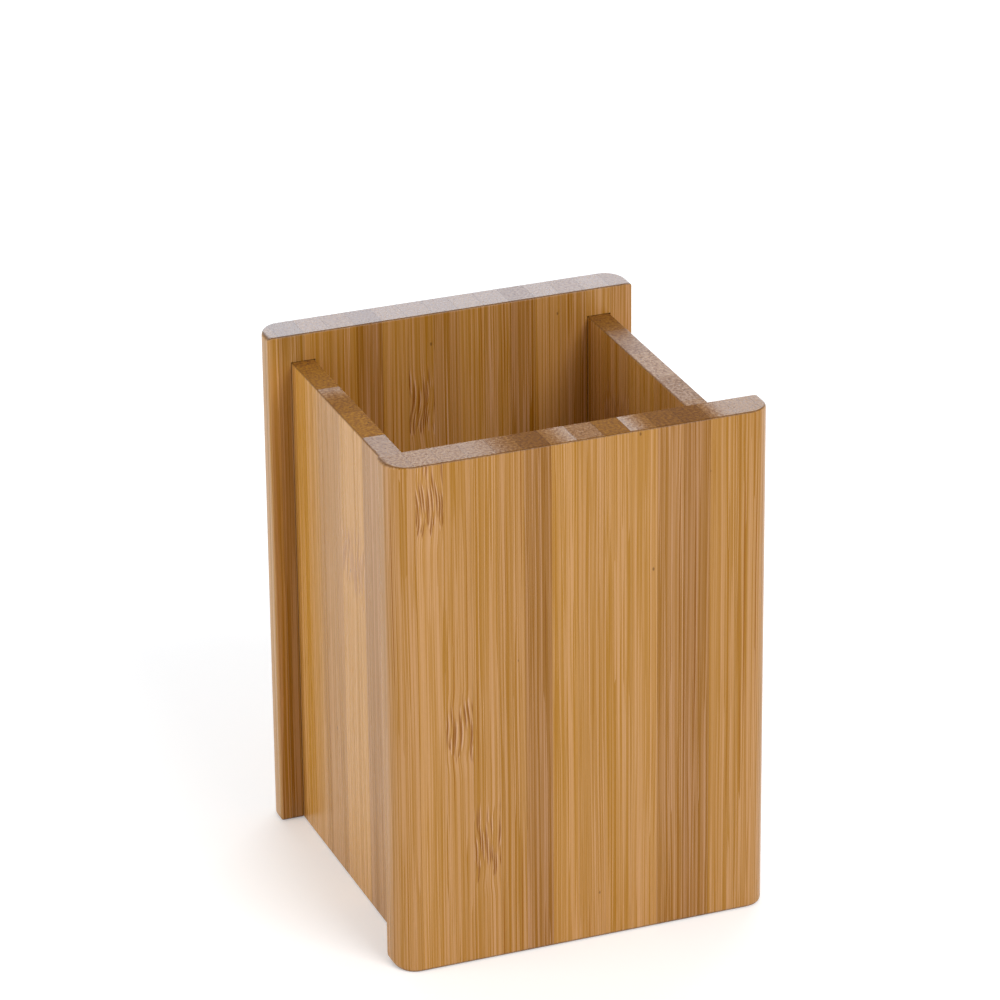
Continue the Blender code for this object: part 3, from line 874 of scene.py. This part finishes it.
    # Painted sheen: the coat tint cools the sawn ends under the second coat, like the cast of mirrored
    # light
    shader.inputs["Coat Tint"].default_value = (*finish.second_coat_and_cool_sheen, 1.0)
    furrows = add_node(tree, "ShaderNodeMath", {
        0: stroke, 1: STROKE_HEIGHT, 2: lines["hairs"]}, operation="MULTIPLY_ADD")
    raised = add_node(tree, "ShaderNodeMath", {
        0: stipple.outputs[0], 1: STIPPLE_HEIGHT}, operation="MULTIPLY")
    pits = add_node(tree, "ShaderNodeMath", {
        0: lines["dark_line"], 1: PIT_HEIGHT, 2: raised.outputs[0]}, operation="MULTIPLY_ADD")
    relief = add_node(tree, "ShaderNodeMath", {
        0: pits.outputs[0], 1: sawn, 2: furrows.outputs[0]}, operation="MULTIPLY_ADD")
    bump = add_node(tree, "ShaderNodeBump", {
        "Height": relief.outputs[0], "Strength": BUMP_STRENGTH, "Distance": RELIEF * MM})
    tree.links.new(bump.outputs[0], shader.inputs["Normal"])
    return material


# Grain of strips on edge, and of strips laid flat
EDGE_GRAIN = {
    "strip_width": 5.6, "fibre_pitch": 0.6, "ground_tone": 0.46, "line_depth": 0.75, "dash_depth": 0.0,
}
FLAT_GRAIN = {
    "strip_width": 13.2, "fibre_pitch": 0.9, "ground_tone": 0.44, "line_depth": 0.20, "dash_depth": 0.20,
}


class PEN_CUP_OT_face_panels(bpy.types.Operator):
    """Glue up the front and back panels from narrow strips on edge"""

    bl_idname = "pen_cup.face_panels"
    bl_label = "Face Panels"

    def execute(self, context):
        shape = context.scene.pen_cup_shape
        material = lacquered_bamboo("lacquered_edge_grain_bamboo", (X, Y, Z), **EDGE_GRAIN)
        gap = Vector((shape.housing_gap, 0.0, shape.housing_gap))
        housings = []
        for side in ("left", "right"):
            low, high = box_of(side)
            low, high = low - gap, high + gap
            low.z -= RUN_OUT
            housings.append(box_object(f"{side}_housing", low, high))
        base_low, base_high = box_of("base")
        around = Vector((1, 1, 1)) * shape.housing_gap
        housings.append(box_object("base_groove", base_low - around, base_high + around))
        outer, inner = shape.outer_round, shape.inner_ease
        top = (shape.top_corner, shape.top_corner, shape.rim_ease)
        for panel, radii, left_foot, rows in (
                ("front", (inner, inner, outer, outer), shape.left_foot, FRONT_STRIPS),
                ("back", (outer, outer, inner, inner), shape.foot_corner, BACK_STRIPS)):
            foot = (left_foot, shape.foot_corner, shape.foot_ease)
            work = board(panel, *box_of(panel), radii, foot, top)
            cut(work, *housings)
            glue_up(work, panel, X, rows, material)
        for tool in housings:
            bpy.data.objects.remove(tool)
        return {"FINISHED"}


class PEN_CUP_OT_side_panels(bpy.types.Operator):
    """Glue up the left and right panels from wide strips laid flat"""

    bl_idname = "pen_cup.side_panels"
    bl_label = "Side Panels"

    def execute(self, context):
        shape = context.scene.pen_cup_shape
        material = lacquered_bamboo("lacquered_flat_grain_bamboo", (Y, X, Z), **FLAT_GRAIN)
        base_low, base_high = box_of("base")
        around = Vector((1, 1, 1)) * shape.housing_gap
        around.y += RUN_OUT
        groove = box_object("base_groove", base_low - around, base_high + around)
        for panel, rows in (("left", LEFT_STRIPS), ("right", RIGHT_STRIPS)):
            eases = (shape.side_ease, shape.side_ease, 0.0)
            work = board(panel, *box_of(panel), (shape.side_ease,) * 4, eases, eases)
            cut(work, groove)
            glue_up(work, panel, Y, rows, material)
        bpy.data.objects.remove(groove)
        return {"FINISHED"}


class PEN_CUP_OT_base(bpy.types.Operator):
    """Glue up the base from wide strips laid flat"""

    bl_idname = "pen_cup.base"
    bl_label = "Base"

    def execute(self, context):
        shape = context.scene.pen_cup_shape
        material = lacquered_bamboo("lacquered_flat_grain_bamboo_base", (X, Z, Y), **FLAT_GRAIN)
        eases = (shape.side_ease,) * 3
        work = board("base", *box_of("base"), (shape.side_ease,) * 4, eases, eases)
        glue_up(work, "base", X, BASE_STRIPS, material)
        return {"FINISHED"}


WHITE = (1.0, 1.0, 1.0)
PAPER_ROUGHNESS = 0.9
FLOOR_SEGMENTS = 8
SENSOR_WIDTH = 36.0           # in millimetres, as a full-frame camera's

# Where each softbox stands, and its width and height, in metres
KEY_PLACE = (0.45, -1.30, 1.20)
KEY_SIZE = (0.9, 0.9)
SIDE_PLACE = (-1.40, 0.10, 0.45)
SIDE_SIZE = (0.9, 0.9)
BACK_PLACE = (0.50, 1.30, 0.72)
BACK_SIZE = (1.6, 1.0)


def softbox(name, place, target, size, power, colour=WHITE):
    """A broad lamp that faces a point."""
    lamp = bpy.data.lights.new(name, "AREA")
    lamp.shape = "RECTANGLE"
    lamp.size, lamp.size_y = size
    lamp.energy = power
    lamp.color = colour
    made = bpy.data.objects.new(name, lamp)
    bpy.context.scene.collection.objects.link(made)
    made.location = place
    made.rotation_mode = "QUATERNION"
    made.rotation_quaternion = (Vector(target) - Vector(place)).to_track_quat("-Z", "Y")


def seen_or_not(tree, seen, unseen):
    """One value where a surface is seen, straight or mirrored, and another where it only lights."""
    path = add_node(tree, "ShaderNodeLightPath").outputs
    mirrored = add_node(tree, "ShaderNodeMath", {
        0: path["Is Glossy Ray"], 1: path["Is Transmission Ray"]}, operation="MAXIMUM")
    either = add_node(tree, "ShaderNodeMath", {
        0: path["Is Camera Ray"], 1: mirrored.outputs[0]}, operation="MAXIMUM")
    picked = add_node(tree, "ShaderNodeMapRange", {
        "Value": either.outputs[0], "To Min": unseen, "To Max": seen})
    return picked.outputs[0]


class PEN_CUP_OT_stage(bpy.types.Operator):
    """Set out the white floor, the soft light and the camera"""

    bl_idname = "pen_cup.stage"
    bl_label = "Stage"

    def execute(self, context):
        scene = context.scene
        stage = scene.pen_cup_stage
        low, high = CAD_BOX
        middle = (low + high) / 2

        # Matt white paper: an even pale ground that takes the shadow
        paper = bpy.data.materials.new("matt_white_paper")
        paper.use_nodes = True
        shader = paper.node_tree.nodes["Principled BSDF"]
        shader.inputs["Base Color"].default_value = (*stage.floor_colour, 1.0)
        shader.inputs["Roughness"].default_value = PAPER_ROUGHNESS
        shader.inputs["Specular IOR Level"].default_value = 0.0
        shader.inputs["Emission Color"].default_value = (*WHITE, 1.0)
        lift = seen_or_not(paper.node_tree, stage.floor_lift, 0.0)
        paper.node_tree.links.new(lift, shader.inputs["Emission Strength"])
        mesh = bmesh.new()
        bmesh.ops.create_grid(mesh, x_segments=FLOOR_SEGMENTS, y_segments=FLOOR_SEGMENTS,
                              size=stage.floor_size / 2)
        floor = link_shape("floor", mesh)
        floor.data.materials.append(paper)

        # White room: plain fill on the cup, and pure white to the camera and in reflections
        world = bpy.data.worlds.new("white_room")
        world.use_nodes = True
        room = world.node_tree.nodes["Background"]
        room.inputs["Color"].default_value = (*WHITE, 1.0)
        strength = seen_or_not(world.node_tree, 1.0, stage.fill)
        world.node_tree.links.new(strength, room.inputs["Strength"])
        scene.world = world

        softbox("key", KEY_PLACE, middle, KEY_SIZE, stage.key_power)
        softbox("side", SIDE_PLACE, middle, SIDE_SIZE, stage.side_power)
        softbox("back", BACK_PLACE, middle, BACK_SIZE, stage.back_power, stage.back_colour)

        lens = bpy.data.cameras.new("camera")
        lens.lens = stage.camera_lens
        lens.sensor_width = SENSOR_WIDTH
        camera = bpy.data.objects.new("camera", lens)
        scene.collection.objects.link(camera)
        place, target = Vector(stage.camera_place), Vector(stage.camera_target)
        roll = Quaternion((0.0, 0.0, 1.0), stage.camera_roll)
        camera.location = place
        camera.rotation_mode = "QUATERNION"
        camera.rotation_quaternion = (target - place).to_track_quat("-Z", "Y") @ roll
        scene.camera = camera
        scene.view_settings.view_transform = "Standard"
        return {"FINISHED"}


class PEN_CUP_PT_build(bpy.types.Panel):
    """Lists the steps that build the pen cup, and its settings"""

    bl_idname = "PEN_CUP_PT_build"
    bl_label = "Pen Cup"
    bl_space_type = "VIEW_3D"
    bl_region_type = "UI"
    bl_category = "Pen Cup"

    def draw(self, context):
        column = self.layout.column()
        for operator in OPERATORS:
            column.operator(operator.bl_idname)
        for name, group in SETTINGS.items():
            settings = getattr(context.scene, name)
            for field in group.__annotations__:
                column.prop(settings, field)


SETTINGS = {
    "pen_cup_shape": PEN_CUP_PG_shape,
    "pen_cup_finish": PEN_CUP_PG_finish,
    "pen_cup_stage": PEN_CUP_PG_stage,
}
OPERATORS = (PEN_CUP_OT_face_panels, PEN_CUP_OT_side_panels, PEN_CUP_OT_base, PEN_CUP_OT_stage)
CLASSES = (*SETTINGS.values(), *OPERATORS, PEN_CUP_PT_build)


def register():
    for made in CLASSES:
        bpy.utils.register_class(made)
    for name, group in SETTINGS.items():
        setattr(bpy.types.Scene, name, PointerProperty(type=group))


def unregister():
    for name in SETTINGS:
        delattr(bpy.types.Scene, name)
    for made in reversed(CLASSES):
        bpy.utils.unregister_class(made)


def main():
    register()
    bpy.ops.pen_cup.face_panels()
    bpy.ops.pen_cup.side_panels()
    bpy.ops.pen_cup.base()
    bpy.ops.pen_cup.stage()


if __name__ == "__main__":
    main()
